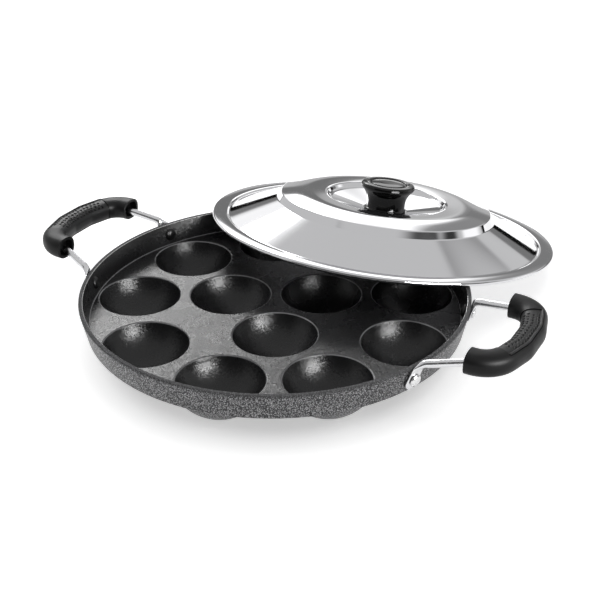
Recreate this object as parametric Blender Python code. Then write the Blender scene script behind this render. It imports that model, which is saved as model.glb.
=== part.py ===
"""A paniyaram pan: a shallow pressed aluminium dish with twelve round cups, two riveted wire
handles with split grips, and a rolled-edge steel lid that leans on the rim.

Metres, +Z up. The origin is the centre of the plate's top face, and +X runs along the handles.
"""

import math

import bmesh
import bpy
from mathutils import Matrix, Vector

# Dish: one pressed sheet with a leaning wall
SHEET = 0.0025
RIM_RADIUS = 0.115
WALL_HEIGHT = 0.01345
WALL_LEAN = math.radians(11.6)
RIM_CHAMFER = 0.0004
FOOT_ROUND = 0.0022
LEDGE_WIDTH = 0.0008
LEDGE_HEIGHT = 0.0004

# Cups: nine round the outside and three in the middle
OUTER_CUPS = 9
OUTER_RING = 0.0839
INNER_CUPS = 3
INNER_RING = 0.03185
CUP_RADIUS = 0.0252
CUP_DEPTH = 0.0174
CUP_LIP = 0.0006
CUP_FLAT = 0.0003

# Rivets through the wall and the flattened wire ends
RIVET_ANGLE = math.radians(20.5)
RIVET_HEIGHT = 0.0063
RIVET_SHANK = 0.0019
RIVET_OUTER_HEAD = 0.0036
RIVET_INNER_HEAD = 0.0039
RIVET_DOME = 0.0019
RIVET_HEAD_EDGE = 0.0004

# Handle wire: one bent rod with flattened ends
WIRE_RADIUS = 0.00225
TAB_HALF_WIDTH = 0.0042
TAB_THICKNESS = 0.0019
TAB_BELOW = 0.0063
TAB_ABOVE = 0.0054
TAB_SPLAY = 0.0022
TAB_ROUNDING = ((0, 0.45), (0.25, 0.8), (0.7, 0.97))
WIRE_OUTSIDE_RIM = 0.0032
WIRE_BEND_HALF_GAP = 0.0379
WIRE_BEND_ABOVE_RIM = 0.0019
WIRE_CORNER = 0.0125
WIRE_BENDS = (0.0035, 0.0050, 0.0080, WIRE_CORNER, WIRE_CORNER)
FLAT_TO_ROUND = 0.0050
WIRE_INSET = 0.0021
WIRE_DROP = 0.0015
WIRE_LEVELS_OFF = 0.0004

# Grip: two shells round the wire, with a soft pad on top; the two handles reach out unequally
RIGHT_REACH = 0.0385
LEFT_REACH = 0.0348
GRIP_LEG = 0.0196
GRIP_HALF_GAP = 0.0327
GRIP_BOW = 0.0063
GRIP_BOW_HALF_LENGTH = 0.0092
GRIP_ABOVE_RIM = 0.0082
GRIP_HALF_WIDTH = 0.0075
GRIP_HALF_HEIGHT = 0.0064
GRIP_CORNER = 0.0143
GRIP_POWER = 3.0
BEFORE_MOUTH = 0.0040
MOUTH_DEPTH = 0.0050
MOUTH_WALL = 0.0017
RIB = 0.0016
HOLLOW_SIDE_WALL = 0.0020
HOLLOW_HALF_HEIGHT = 0.0029
POCKET_HALF_LENGTH = 0.0040
BOSS_HALF_LENGTH = 0.0108
PAD_HALF_WIDTH = 0.0056
PAD_PROUD = 0.0004
PAD_BASE = 0.0045
PAD_START = 0.0175

# Grip screws, hidden under the pad
GRIP_SCREW_SHANK = 0.0011
GRIP_SCREW_HEAD = 0.0020
GRIP_SCREW_HEAD_HEIGHT = 0.0010
GRIP_SCREW_LENGTH = 0.0071
GRIP_SCREW_OUT = 0.0035
GRIP_SCREW_HALF_GAP = 0.0074

# Lid: one spun sheet, from the rolled edge to the well that holds the knob
LID_RADIUS = 0.115
LID_SHEET = 0.0007
ROLL_RADIUS = 0.0015
FLANGE_WIDTH = 0.0091
STEP_WIDTH = 0.0022
STEP_DEPTH = 0.0011
SKIRT_TOP_RADIUS = 0.0735
SKIRT_TOP = 0.0135
SHOULDER_RADIUS = 0.0708
SHOULDER = 0.0183
CROWN = 0.0210
WELL_RADIUS = 0.0404
WELL_EDGE = 0.0204
WELL_STEP = 0.0030
WELL_FLOOR_RADIUS = 0.0150
WELL_FLOOR = 0.0125
WELL_FOOT_START = 0.0035
WELL_FOOT_END = 0.0022
CROWN_START = 0.0070
CROWN_END = 0.0060
LID_SOFT = 0.0008

# Knob and its fixing
KNOB_RADIUS = 0.0180
KNOB_WAIST = 0.0130
KNOB_HEIGHT = 0.0180
KNOB_HEAD = 0.0050
KNOB_FLARE = 0.0032
KNOB_GROOVE_RADIUS = 0.0125
KNOB_GROOVE = 0.0008
KNOB_SOFT = 0.0010
INSERT_RADIUS = 0.0035
INSERT_LENGTH = 0.0090
KNOB_SCREW_SHANK = 0.0020
KNOB_SCREW_HEAD = 0.0040
KNOB_SCREW_HEAD_HEIGHT = 0.0020
KNOB_SCREW_REACH = 0.0070
WASHER_RADIUS = 0.0065
WASHER_THICKNESS = 0.0008

# Where the lid stands: its far edge on the table, its underside on the rim
LEAN_OFFSET = 0.1241
LEAN_TOWARDS = math.radians(85.0)
COVERING_GAP = 0.0150

# Clearance between pieces that touch, and how far a cutter stands out of what it cuts
CLEARANCE = 0.0003
CUTTER_OVER = 0.0030

# How finely round shapes are divided
DISH_SEGMENTS = 60
CUP_SEGMENTS = 20
CUP_RINGS = 4
LID_SEGMENTS = 60
KNOB_SEGMENTS = 28
SMALL_SEGMENTS = 12
WIRE_SIDES = 12
WIRE_TURN = math.radians(15)
GRIP_TURN = math.radians(13)

# Places that follow from the sizes above
TABLE = -(CUP_DEPTH + SHEET - CUP_FLAT)
GRIP_HEIGHT = WALL_HEIGHT + GRIP_ABOVE_RIM


def clear_scene():
    for obj in list(bpy.data.objects):
        bpy.data.objects.remove(obj, do_unlink=True)


def material(name, colour, roughness, metallic=0.0):
    made = bpy.data.materials.new(name)
    made.use_nodes = True
    shader = made.node_tree.nodes["Principled BSDF"]
    shader.inputs["Base Color"].default_value = (*colour, 1.0)
    shader.inputs["Roughness"].default_value = roughness
    shader.inputs["Metallic"].default_value = metallic
    made.diffuse_color = (*colour, 1.0)
    return made


def mesh_from(name, points, faces):
    """A mesh with its faces pointing out, smooth except where it turns sharply."""
    shape = bmesh.new()
    corners = [shape.verts.new(point) for point in points]
    for face in faces:
        shape.faces.new([corners[index] for index in face])
    bmesh.ops.recalc_face_normals(shape, faces=shape.faces)
    mesh = bpy.data.meshes.new(name)
    shape.to_mesh(mesh)
    shape.free()
    mesh.shade_smooth()
    mesh.set_sharp_from_angle(angle=math.radians(35))
    return mesh


def piece(name, mesh, finish, parent=None, place=None):
    obj = bpy.data.objects.new(name, mesh)
    bpy.context.collection.objects.link(obj)
    if finish and not mesh.materials:
        mesh.materials.append(finish)
    obj.parent = parent
    if place is not None:
        obj.matrix_local = place
    return obj


def guide(name, mesh, parent=None, place=None):
    """A cutter or a filler: it shapes other pieces and isn't one itself."""
    obj = piece(name, mesh, None, parent, place)
    obj.hide_render = True
    obj.display_type = "WIRE"
    return obj


def empty(name, place):
    obj = bpy.data.objects.new(name, None)
    bpy.context.collection.objects.link(obj)
    obj.matrix_world = place
    return obj


def combine(obj, other, operation):
    step = obj.modifiers.new(other.name, "BOOLEAN")
    step.operation = operation
    step.solver = "EXACT"
    step.object = other


def mirrored(obj):
    """Adds the half on the other side of the XZ plane."""
    step = obj.modifiers.new("Other half", "MIRROR")
    step.use_axis = (False, True, False)
    step.use_clip = True
    step.merge_threshold = 0.00005


def turned(profile, segments, places=((0.0, 0.0),)):
    """Points and faces of a closed (radius, height) outline turned about Z, once for each place."""
    points = []
    faces = []
    for centre_x, centre_y in places:
        rings = []
        for radius, height in profile:
            first = len(points)
            if radius == 0:
                points.append((centre_x, centre_y, height))
                rings.append([first] * segments)
                continue
            for index in range(segments):
                angle = 2 * math.pi * index / segments
                x = centre_x + radius * math.cos(angle)
                y = centre_y + radius * math.sin(angle)
                points.append((x, y, height))
            rings.append(list(range(first, first + segments)))
        for ring, following in zip(rings, rings[1:] + rings[:1]):
            for index in range(segments):
                after = (index + 1) % segments
                corners = [ring[index], ring[after], following[after], following[index]]
                corners = list(dict.fromkeys(corners))
                if len(corners) > 2:
                    faces.append(corners)
    return points, faces


def lofted(rings, close_start=True, close_end=True):
    """Points and faces of a skin through rings that have the same number of points."""
    count = len(rings[0])
    points = [point for ring in rings for point in ring]
    faces = []
    for step in range(len(rings) - 1):
        for index in range(count):
            after = (index + 1) % count
            low = step * count
            high = low + count
            faces.append([low + index, low + after, high + after, high + index])
    if close_start:
        faces.append(list(range(count)))
    if close_end:
        faces.append(list(range(len(points) - count, len(points))))
    return points, faces


def arc(centre, radius, start, end, steps):
    """Points (across, up) on an arc, with its angles in degrees."""
    points = []
    for index in range(steps + 1):
        angle = math.radians(start + (end - start) * index / steps)
        points.append((centre[0] + radius * math.cos(angle), centre[1] + radius * math.sin(angle)))
    return points


def rounded_path(corners, radii, finest):
    """A polyline through the corners, each inner one an arc in steps of at most a given turn."""
    path = [corners[0].copy()]
    for before, corner, after, radius in zip(corners, corners[1:], corners[2:], radii):
        back = (before - corner).normalized()
        ahead = (after - corner).normalized()
        half_angle = back.angle(ahead) / 2
        reach = radius / math.tan(half_angle)
        centre = corner + (back + ahead).normalized() * radius / math.sin(half_angle)
        start = corner + back * reach - centre
        turn = math.pi - 2 * half_angle
        axis = start.cross(corner + ahead * reach - centre).normalized()
        steps = math.ceil(turn / finest - 1e-9)
        for index in range(steps + 1):
            path.append(centre + Matrix.Rotation(turn * index / steps, 3, axis) @ start)
    path.append(corners[-1].copy())
    return path


def directions(path):
    """The direction of travel at each point of a path, halfway through the turn at a corner."""
    steps = [(after - before).normalized() for before, after in zip(path, path[1:])]
    corners = [(before + after).normalized() for before, after in zip(steps, steps[1:])]
    return [steps[0]] + corners + [steps[-1]]


def oval(half_width, half_height, power, sides):
    """A closed outline between an ellipse (power 2) and a rounded rectangle (power 4)."""
    points = []
    for index in range(sides):
        angle = 2 * math.pi * index / sides
        across = math.cos(angle)
        up = math.sin(angle)
        across = math.copysign(abs(across) ** (2 / power), across)
        up = math.copysign(abs(up) ** (2 / power), up)
        points.append((half_width * across, half_height * up))
    return points


# Dish


def wall_radius(height):
    """Radius of the wall's outside at a height."""
    return RIM_RADIUS - (WALL_HEIGHT - height) * math.tan(WALL_LEAN)


def dish_profile():
    slope = math.tan(WALL_LEAN)
    across = SHEET / math.cos(WALL_LEAN)
    inside_foot = wall_radius(0) - across
    inside_rim = RIM_RADIUS - across
    foot_centre = (wall_radius(-SHEET) - FOOT_ROUND * 1.05, -SHEET + FOOT_ROUND)
    ledge = inside_foot - LEDGE_WIDTH
    inside = [
        (0, 0),
        (ledge, 0),
        (ledge + LEDGE_HEIGHT / 2, LEDGE_HEIGHT),
        (inside_foot + LEDGE_HEIGHT * slope, LEDGE_HEIGHT),
        (inside_rim - RIM_CHAMFER * slope, WALL_HEIGHT - RIM_CHAMFER),
        (inside_rim + RIM_CHAMFER, WALL_HEIGHT),
    ]
    outside = [
        (RIM_RADIUS - RIM_CHAMFER, WALL_HEIGHT),
        (RIM_RADIUS - RIM_CHAMFER * slope, WALL_HEIGHT - RIM_CHAMFER),
    ]
    foot = arc(foot_centre, FOOT_ROUND, -math.degrees(WALL_LEAN), -90, 3)
    return inside + outside + foot + [(0, -SHEET)]


def cup_places():
    places = []
    for index in range(OUTER_CUPS):
        angle = 2 * math.pi * index / OUTER_CUPS
        places.append((OUTER_RING * math.cos(angle), OUTER_RING * math.sin(angle)))
    for index in range(INNER_CUPS):
        angle = math.pi + 2 * math.pi * index / INNER_CUPS
        places.append((INNER_RING * math.cos(angle), INNER_RING * math.sin(angle)))
    return places


def ball_radius():
    """Radius of the ball that forms a cup's inside."""
    chord = CUP_RADIUS - CUP_LIP
    return (chord**2 + CUP_DEPTH**2) / (2 * CUP_DEPTH)


def cup_inside_profile():
    """The space inside a cup, with a rounded lip, open above the plate."""
    radius = ball_radius()
    centre = (0, radius - CUP_DEPTH)
    lip = math.degrees(math.asin((-CUP_LIP - centre[1]) / radius))
    bowl = arc(centre, radius, -90, lip, CUP_RINGS)
    bowl[0] = (0, -CUP_DEPTH)
    above = SHEET
    return bowl + [(CUP_RADIUS, 0), (CUP_RADIUS, above), (0, above)]


def cup_outside_profile():
    """The bulge under the plate, cut flat at the foot and buried in the sheet at the top."""
    radius = ball_radius() + SHEET
    centre = (0, ball_radius() - CUP_DEPTH)
    foot = math.degrees(math.asin((TABLE - centre[1]) / radius))
    top = math.degrees(math.asin((-SHEET / 2 - centre[1]) / radius))
    bulge = arc(centre, radius, foot, top, CUP_RINGS)
    return [(0, TABLE)] + bulge + [(0, -SHEET / 2)]


def make_pan(finish, rivet_holes):
    places = cup_places()
    pan = piece("pan_body", mesh_from("pan_body", *turned(dish_profile(), DISH_SEGMENTS)), finish)
    bulges = turned(cup_outside_profile(), CUP_SEGMENTS, places)
    hollows = turned(cup_inside_profile(), CUP_SEGMENTS, places)
    combine(pan, guide("cup_bulges", mesh_from("cup_bulges", *bulges)), "UNION")
    combine(pan, guide("cup_hollows", mesh_from("cup_hollows", *hollows)), "DIFFERENCE")
    for holes in rivet_holes:
        combine(pan, holes, "DIFFERENCE")


# Rivets


def rivet_frame(side):
    """The wall's outside at a rivet: the matrix's Z points out of the wall, its Y up the wall."""
    angle = side * RIVET_ANGLE
    radius = wall_radius(RIVET_HEIGHT)
    radial = Vector((math.cos(angle), math.sin(angle), 0))
    outward = radial * math.cos(WALL_LEAN) - Vector((0, 0, 1)) * math.sin(WALL_LEAN)
    along = Vector((-math.sin(angle), math.cos(angle), 0))
    up_wall = outward.cross(along)
    frame = Matrix((along, up_wall, outward)).transposed().to_4x4()
    frame.translation = radial * radius + Vector((0, 0, RIVET_HEIGHT))
    return frame


def dome(radius, base, height, upward):
    """Outline of a rivet head, from the shank's edge round to the axis."""
    ball = (radius**2 + height**2) / (2 * height)
    start = math.degrees(math.asin(1 - height / ball))
    points = [(radius, base), (radius, base + upward * RIVET_HEAD_EDGE)]
    for across, up in arc((0, height - ball), ball, start, 90, 3)[1:]:
        points.append((across, base + upward * (RIVET_HEAD_EDGE + up)))
    points[-1] = (0, points[-1][1])
    return points


def rivet_profile():
    outer_seat = TAB_THICKNESS + 2 * CLEARANCE
    inner_seat = -SHEET - CLEARANCE
    inner = dome(RIVET_INNER_HEAD, inner_seat, RIVET_DOME, -1)
    outer = dome(RIVET_OUTER_HEAD, outer_seat, RIVET_DOME, 1)
    return inner[::-1] + [(RIVET_SHANK, inner_seat), (RIVET_SHANK, outer_seat)] + outer


def rivet_hole_mesh():
    """Two short rods that pass through the wall and both wire ends of one handle."""
    radius = RIVET_SHANK + CLEARANCE
    reach = SHEET + TAB_THICKNESS
    profile = [(0, -reach), (radius, -reach), (radius, reach), (0, reach)]
    points, faces = turned(profile, SMALL_SEGMENTS)
    both = [rivet_frame(side) @ Vector(point) for side in (1, -1) for point in points]
    shifted = [[index + len(points) for index in face] for face in faces]
    return mesh_from("rivet_holes", both, faces + shifted)


# Handle wire


def wire_path(reach):
    """Half of the wire's centre line: from the foot of its flattened end to mid grip."""
    frame = rivet_frame(1)
    lift = CLEARANCE + TAB_THICKNESS / 2
    foot = frame @ Vector((TAB_SPLAY, -TAB_BELOW, lift))
    top = frame @ Vector((-TAB_SPLAY * TAB_ABOVE / TAB_BELOW, TAB_ABOVE, lift))
    bend_radius = RIM_RADIUS + WIRE_OUTSIDE_RIM
    bend_x = math.sqrt(bend_radius**2 - WIRE_BEND_HALF_GAP**2)
    bend = Vector((bend_x, WIRE_BEND_HALF_GAP, WALL_HEIGHT + WIRE_BEND_ABOVE_RIM))
    height = GRIP_HEIGHT - WIRE_DROP
    far = RIM_RADIUS + reach
    mouth = Vector((far - GRIP_LEG - WIRE_LEVELS_OFF, GRIP_HALF_GAP, height))
    corner = Vector((far - GRIP_BOW - WIRE_INSET, GRIP_HALF_GAP, height))
    bow = Vector((far - WIRE_INSET, GRIP_BOW_HALF_LENGTH, height))
    middle = Vector((bow.x, 0, height))
    corners = [foot, top, bend, mouth, corner, bow, middle]
    return rounded_path(corners, WIRE_BENDS, WIRE_TURN)


def wire_rings(path, flat_normal, grow=0.0):
    """Round sections along the path, flattened before the wire leaves the wall."""
    flat_length = TAB_BELOW + TAB_ABOVE
    rings = []
    normal = flat_normal
    travelled = 0.0
    for index, (point, along) in enumerate(zip(path, directions(path))):
        if index:
            travelled += (point - path[index - 1]).length
        normal = (normal - along * normal.dot(along)).normalized()
        across = along.cross(normal)
        round_share = min(max((travelled - flat_length) / FLAT_TO_ROUND, 0), 1)
        width = TAB_HALF_WIDTH + (WIRE_RADIUS - TAB_HALF_WIDTH) * round_share + grow
        height = TAB_THICKNESS / 2 + (WIRE_RADIUS - TAB_THICKNESS / 2) * round_share + grow
        section = oval(width, height, 4 - 2 * round_share, WIRE_SIDES)
        rings.append([point + across * u + normal * v for u, v in section])
    return rings


def wire_mesh(reach):
    """Half of the wire; its flattened end is rounded off by narrowing the first rings."""
    path = wire_path(reach)
    start = path[0]
    step_in = (path[1] - path[0]).normalized()
    ends = [start + step_in * TAB_HALF_WIDTH * along for along, _ in TAB_ROUNDING]
    path = ends + path[1:]
    normal = rivet_frame(1).to_3x3() @ Vector((0, 0, 1))
    rings = wire_rings(path, normal)
    for ring, centre, (_, share) in zip(rings, ends, TAB_ROUNDING):
        for index, point in enumerate(ring):
            offset = point - centre
            thick = normal * offset.dot(normal)
            ring[index] = centre + thick + (offset - thick) * share
    return mesh_from("handle_wire", *lofted(rings, close_end=False))


def wire_channel_mesh(reach):
    """The space that the wire takes inside the grip, with its clearance."""
    mouth = RIM_RADIUS + reach - GRIP_LEG
    path = [point for point in wire_path(reach) if point.x > mouth - BEFORE_MOUTH]
    start = path[0] + (path[0] - path[1]).normalized() * BEFORE_MOUTH
    rings = []
    up = Vector((0, 0, 1))
    path = [start] + path
    for point, along in zip(path, directions(path)):
        across = along.cross(up).normalized()
        lift = across.cross(along)
        section = oval(WIRE_RADIUS + CLEARANCE, WIRE_RADIUS + CLEARANCE, 2, WIRE_SIDES)
        rings.append([point + across * u + lift * v for u, v in section])
    return mesh_from("wire_channel", *lofted(rings, close_end=False))


# Grip, in its own frame: the origin is mid grip on its centre line


def grip_line():
    """Half of the grip's centre line, from a little before its mouth to mid grip."""
    before = Vector((-GRIP_LEG - BEFORE_MOUTH, GRIP_HALF_GAP, 0))
    mouth = Vector((-GRIP_LEG, GRIP_HALF_GAP, 0))
    corner = Vector((-GRIP_BOW, GRIP_HALF_GAP, 0))
    bow = Vector((0, GRIP_BOW_HALF_LENGTH, 0))
    line = rounded_path([mouth, corner, bow, Vector()], (GRIP_CORNER, GRIP_CORNER), GRIP_TURN)
    return [before] + line


def grip_path(start, end):
    """Stretch of the grip's centre line, by distance from its mouth, towards mid grip."""
    whole = grip_line()
    before_mouth = (whole[1] - whole[0]).length
    travelled = -before_mouth
    path = []
    for before, after in zip(whole, whole[1:]):
        length = (after - before).length
        for mark in (start, end):
            if travelled - 1e-9 <= mark <= travelled + length + 1e-9:
                point = before.lerp(after, (mark - travelled) / length)
                if not path or (point - path[-1]).length > 1e-6:
                    path.append(point)
        travelled += length
        if start < travelled < end and (after - path[-1]).length > 1e-6:
            path.append(after.copy())
    return path


def grip_length():
    line = grip_line()
    return sum((after - before).length for before, after in zip(line[1:], line[2:]))


def along_grip(section, start, end):
    """Sections (outward, up) set along a stretch of the grip's centre line."""
    path = grip_path(start, end)
    up = Vector((0, 0, 1))
    rings = []
    for point, along in zip(path, directions(path)):
        outward = up.cross(along) * -1
        rings.append([point + outward * u + up * v for u, v in section])
    return rings


def grip_top(across):
    """Height of the grip's skin over its centre line."""
    share = 1 - abs(across / GRIP_HALF_WIDTH) ** GRIP_POWER
    return GRIP_HALF_HEIGHT * share ** (1 / GRIP_POWER)


def shell_section(side):
    """Half of the grip's outline, above (1) or below (-1) the parting plane."""
    outline = oval(GRIP_HALF_WIDTH, GRIP_HALF_HEIGHT, GRIP_POWER, 20)
    parting = CLEARANCE / 2
    half = [(across, side * max(abs(up), parting)) for across, up in outline[:11]]
    return half


def shell_mesh(side):
    rings = along_grip(shell_section(side), 0, grip_length())
    return mesh_from("grip_shell", *lofted(rings, close_end=False))


def hollow_mesh():
    """The grip's open mouth, its long hollow and half of its middle pocket."""
    mouth_section = oval(GRIP_HALF_WIDTH - MOUTH_WALL, GRIP_HALF_HEIGHT - MOUTH_WALL, GRIP_POWER, 12)
    section = oval(GRIP_HALF_WIDTH - HOLLOW_SIDE_WALL, HOLLOW_HALF_HEIGHT, GRIP_POWER, 12)
    length = grip_length()
    stretches = (
        (mouth_section, -BEFORE_MOUTH / 4, MOUTH_DEPTH, True),
        (section, MOUTH_DEPTH + RIB, length - BOSS_HALF_LENGTH, True),
        (section, length - POCKET_HALF_LENGTH, length, False),
    )
    points = []
    faces = []
    for outline, start, end, close_end in stretches:
        more_points, more_faces = lofted(along_grip(outline, start, end), close_end=close_end)
        faces += [[index + len(points) for index in face] for face in more_faces]
        points += more_points
    return mesh_from("grip_hollow", points, faces)


def pad_section(grow):
    """Outline of the pad: flat below, crowned above; grow widens it into its seat."""
    half_width = PAD_HALF_WIDTH + grow
    top = []
    steps = 6
    for index in range(steps + 1):
        across = half_width * (1 - 2 * index / steps)
        proud = PAD_PROUD if index not in (0, steps) else 0
        top.append((across, grip_top(across) + proud + (CUTTER_OVER if grow else 0)))
    return [(-half_width, PAD_BASE - grow), (half_width, PAD_BASE - grow)] + top


def pad_mesh(grow):
    rings = along_grip(pad_section(grow), PAD_START - grow, grip_length())
    return mesh_from("grip_pad", *lofted(rings, close_end=False))


def grip_screw_profile(grow):
    """Head and shank from the axis out, with its origin under the head; grow makes its hole."""
    shank = GRIP_SCREW_SHANK + grow
    head = GRIP_SCREW_HEAD + grow
    top = GRIP_SCREW_HEAD_HEIGHT + (CUTTER_OVER if grow else 0)
    return [
        (0, -GRIP_SCREW_LENGTH - grow),
        (shank, -GRIP_SCREW_LENGTH - grow),
        (shank, -grow),
        (head, -grow),
        (head, top),
        (0, top),
    ]


def grip_screw_places():
    seat = PAD_BASE - 2 * CLEARANCE - GRIP_SCREW_HEAD_HEIGHT
    return [Vector((GRIP_SCREW_OUT, side * GRIP_SCREW_HALF_GAP, seat)) for side in (1, -1)]


def grip_screw_hole_mesh():
    points, faces = turned(grip_screw_profile(CLEARANCE), SMALL_SEGMENTS)
    both = [place + Vector(point) for place in grip_screw_places() for point in points]
    shifted = [[index + len(points) for index in face] for face in faces]
    return mesh_from("grip_screw_holes", both, faces + shifted)


def handle_meshes():
    """The meshes that both handles share."""
    return {
        "upper": shell_mesh(1),
        "lower": shell_mesh(-1),
        "hollow": hollow_mesh(),
        "pad": pad_mesh(0),
        "pad_seat": pad_mesh(CLEARANCE),
        "screw": mesh_from("grip_screw", *turned(grip_screw_profile(0), SMALL_SEGMENTS)),
        "screw_holes": grip_screw_hole_mesh(),
        "rivet": mesh_from("rivet", *turned(rivet_profile(), SMALL_SEGMENTS)),
        "rivet_holes": rivet_hole_mesh(),
    }


def make_handle(hand, turn, reach, meshes, finishes):
    """One handle, made on the +X side and turned to its own; gives back its rivet holes."""
    handle = empty(hand + "_handle", Matrix.Rotation(turn, 4, "Z"))
    at_grip = Matrix.Translation((RIM_RADIUS + reach, 0, GRIP_HEIGHT))
    rivet_holes = guide(hand + "_rivet_holes", meshes["rivet_holes"], handle)
    rod = piece(hand + "_handle_wire", wire_mesh(reach), finishes["steel"], handle)
    mirrored(rod)
    combine(rod, rivet_holes, "DIFFERENCE")

    channel = guide(hand + "_wire_channel", wire_channel_mesh(reach), handle)
    hollow = guide(hand + "_grip_hollow", meshes["hollow"], handle, at_grip)
    seat = guide(hand + "_pad_seat", meshes["pad_seat"], handle, at_grip)
    for cutter in (channel, hollow, seat):
        mirrored(cutter)
    screw_holes = guide(hand + "_grip_screw_holes", meshes["screw_holes"], handle, at_grip)
    cutters = {
        "upper": (channel, hollow, screw_holes, seat),
        "lower": (channel, hollow, screw_holes),
    }
    for level, level_cutters in cutters.items():
        shell = piece(hand + "_grip_" + level, meshes[level], finishes["bakelite"], handle, at_grip)
        mirrored(shell)
        for cutter in level_cutters:
            combine(shell, cutter, "DIFFERENCE")
    mirrored(piece(hand + "_grip_pad", meshes["pad"], finishes["soft"], handle, at_grip))

    for end, side, place in zip(("back", "front"), (1, -1), grip_screw_places()):
        piece(hand + "_rivet_" + end, meshes["rivet"], finishes["rivet"], handle, rivet_frame(side))
        at_screw = at_grip @ Matrix.Translation(place)
        piece(hand + "_grip_screw_" + end, meshes["screw"], finishes["steel"], handle, at_screw)
    return rivet_holes


# Lid, in its own frame: the origin is the centre of the rolled edge


def lid_outline():
    """The lid's upper skin from the screw hole out to the end of the curl."""
    hole = KNOB_SCREW_SHANK + CLEARANCE
    roll_centre = LID_RADIUS - ROLL_RADIUS
    flange = LID_RADIUS - FLANGE_WIDTH
    groove = flange - STEP_WIDTH
    flange_top = ROLL_RADIUS
    groove_floor = flange_top - STEP_DEPTH
    well_foot = WELL_EDGE - WELL_STEP
    middle = (WELL_RADIUS + SHOULDER_RADIUS) / 2
    soft = LID_SOFT
    points = [
        (hole, WELL_FLOOR),
        (WELL_FLOOR_RADIUS, WELL_FLOOR),
        (WELL_RADIUS - WELL_FOOT_START, well_foot - soft / 2),
        (WELL_RADIUS - WELL_FOOT_END, well_foot + soft / 2),
        (WELL_RADIUS - soft, WELL_EDGE - soft / 2),
        (WELL_RADIUS + soft, WELL_EDGE),
        (WELL_RADIUS + CROWN_START, (WELL_EDGE + CROWN) / 2),
        (middle, CROWN),
        (SHOULDER_RADIUS - CROWN_END, (SHOULDER + CROWN) / 2 + soft / 4),
        (SHOULDER_RADIUS - soft, SHOULDER + soft / 4),
        (SHOULDER_RADIUS + soft / 2, SHOULDER - soft),
        (SKIRT_TOP_RADIUS - soft, SKIRT_TOP + soft),
        (SKIRT_TOP_RADIUS + soft, SKIRT_TOP - soft / 2),
        (groove - soft, groove_floor + soft / 2),
        (groove, groove_floor),
        (groove + soft, groove_floor + soft / 4),
        (flange, flange_top),
        (roll_centre - soft, flange_top),
    ]
    return points + arc((roll_centre, 0), ROLL_RADIUS, 90, -165, 7)


def lid_underside():
    """The upper skin moved in by the sheet's thickness."""
    outline = lid_outline()
    moved = []
    for index, point in enumerate(outline):
        before = Vector(outline[max(index - 1, 0)])
        here = Vector(point)
        after = Vector(outline[min(index + 1, len(outline) - 1)])
        back = (here - before).normalized() if index else (after - here).normalized()
        ahead = (after - here).normalized() if index < len(outline) - 1 else back
        middle = (back + ahead).normalized()
        inward = Vector((middle.y, -middle.x))
        stretch = 1 / max(inward.dot(Vector((back.y, -back.x))), 0.5)
        moved.append(tuple(here + inward * LID_SHEET * stretch))
    return moved


def lowest_skin():
    """(radius, height) of what the lid would first touch below it, hole to edge."""
    inside = [(0, WELL_FLOOR - LID_SHEET - WASHER_THICKNESS)]
    inside += [point for point in lid_underside() if point[0] < LID_RADIUS - 2 * ROLL_RADIUS]
    inside = [point for index, point in enumerate(inside) if not index or point[0] > inside[index - 1][0]]
    roll = [(LID_RADIUS - 2 * ROLL_RADIUS, -ROLL_RADIUS), (LID_RADIUS, -ROLL_RADIUS)]
    return inside + roll


def height_under(radius, skin):
    for (near, low), (far, high) in zip(skin, skin[1:]):
        if near <= radius <= far:
            return low + (high - low) * (radius - near) / (far - near)
    return None


def lean_centre(lean):
    """The lid's centre when it leans by this angle with its far edge on the table."""
    drop = (LID_RADIUS - ROLL_RADIUS) * math.sin(lean)
    height = TABLE + ROLL_RADIUS + CLEARANCE + drop
    return Vector((LEAN_OFFSET, 0, height))


def room_over_rim(lean, skin):
    """Least room between the leaning lid and the rim, along the lid's own axis."""
    centre = lean_centre(lean)
    tip = Matrix.Rotation(-lean, 3, "Y")
    least = 1.0
    for step in range(181):
        angle = math.pi * step / 180
        for radius in (RIM_RADIUS, RIM_RADIUS - SHEET):
            rim_point = Vector((radius * math.cos(angle), radius * math.sin(angle), WALL_HEIGHT))
            local = tip @ (rim_point - centre)
            skin_height = height_under(math.hypot(local.x, local.y), skin)
            if skin_height is not None:
                least = min(least, skin_height - local.z)
    return least


def lean_angle():
    """The angle at which the lid also touches the rim."""
    skin = lowest_skin()
    low = math.radians(2)
    high = math.radians(30)
    for _ in range(40):
        middle = (low + high) / 2
        if room_over_rim(middle, skin) > CLEARANCE:
            high = middle
        else:
            low = middle
    return high


def lid_hinge(lean):
    """Place of the axis that carries the lid from its lean to over the pan, and its radius."""
    leaning = lean_centre(lean)
    covering = Vector((0, 0, WALL_HEIGHT + ROLL_RADIUS + COVERING_GAP))
    middle = (leaning + covering) / 2
    chord = leaning - covering
    downward = Vector((chord.z, 0, -chord.x)).normalized()
    axis_point = middle + downward * (chord.length / 2) / math.tan(lean / 2)
    return axis_point, covering


# Knob and its fixing, from the well's floor


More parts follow.
